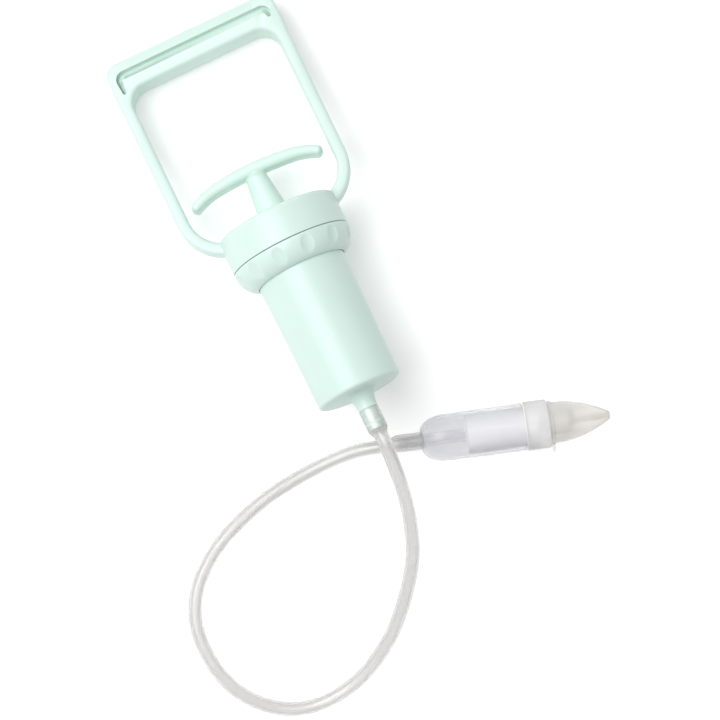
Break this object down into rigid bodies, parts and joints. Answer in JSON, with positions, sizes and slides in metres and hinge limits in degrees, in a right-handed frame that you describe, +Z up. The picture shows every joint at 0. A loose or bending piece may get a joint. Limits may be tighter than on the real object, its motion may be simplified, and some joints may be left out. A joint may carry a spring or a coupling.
{
  "type": "nasal aspirator",
  "caption": "Hand-squeezed nasal aspirator: suction pump with a D-shaped handle and finger bar, clear hose, see-through chamber and soft nose tip.",
  "frame": {"origin": "middle of the pump's footprint on the surface it lies on", "axes": "+Z up from that surface, +Y along the pump from the hose nozzle to the handle, +X across the handle, to the right seen from above with the handle away"},
  "size_m": [0.1846, 0.2612, 0.0545],
  "materials": {
    "mint_plastic": "satin moulded ABS, pale mint green",
    "white_plastic": "plain moulded acetal",
    "seal_rubber": "smooth lip-seal rubber",
    "spring_steel": "bright drawn spring steel",
    "clear_tube": "clear silicone tube",
    "clear_plastic": "clear polished polypropylene",
    "milky_plastic": "milky polypropylene",
    "frosted_plastic": "frosted polypropylene",
    "tip_silicone": "soft clear silicone"
  },
  "bodies": {
    "pump": {"barrel": "mint_plastic", "barrel_gasket": "seal_rubber", "cap_shell": "mint_plastic", "handle_frame": "mint_plastic", "guide_bush": "white_plastic", "rod_wiper": "seal_rubber", "spring_seat": "spring_steel", "return_spring": "spring_steel", "valve_cage": "white_plastic", "hose": "clear_tube", "chamber_cup": "clear_plastic"},
    "plunger": {"finger_bar": "mint_plastic", "piston_rod": "white_plastic", "piston_head": "white_plastic", "piston_seal": "seal_rubber", "piston_screw": "spring_steel"},
    "ring": {"grip_ring": "mint_plastic"},
    "exhaust_flap": {"exhaust_valve": "seal_rubber"},
    "inlet_disc": {"inlet_valve": "seal_rubber"},
    "insert": {"tip_collar": "frosted_plastic", "chamber_sleeve": "milky_plastic", "chamber_gasket": "tip_silicone"},
    "tip": {"nose_tip": "tip_silicone"}
  },
  "joints": [
    {"name": "plunger_slide", "type": "slide", "parent": "pump", "child": "plunger", "axis": [0, 0.9808, -0.1952], "range_m": [0, 0.03], "stiffness_N_per_m": 400, "springref_m": -0.01, "deforming": ["return_spring"]},
    {"name": "ring_twist", "type": "hinge", "parent": "pump", "child": "ring", "pos_m": [0, -0.06925, 0.03807], "axis": [0, 0.9808, -0.1952], "range_deg": [0, 60]},
    {"name": "exhaust_lift", "type": "slide", "parent": "plunger", "child": "exhaust_flap", "axis": [0, 0.9808, -0.1952], "range_m": [0, 0.001], "stiffness_N_per_m": 20, "springref_m": -0.0002},
    {"name": "inlet_lift", "type": "slide", "parent": "pump", "child": "inlet_disc", "axis": [0, 0.9808, -0.1952], "range_m": [0, 0.0008], "stiffness_N_per_m": 20, "springref_m": -0.0002},
    {"name": "insert_pull", "type": "slide", "parent": "pump", "child": "insert", "axis": [0.9521, -0.3057, 0], "range_m": [0, 0.03]},
    {"name": "tip_pull", "type": "slide", "parent": "insert", "child": "tip", "axis": [0.9521, -0.3057, 0], "range_m": [0, 0.01]}
  ]
}
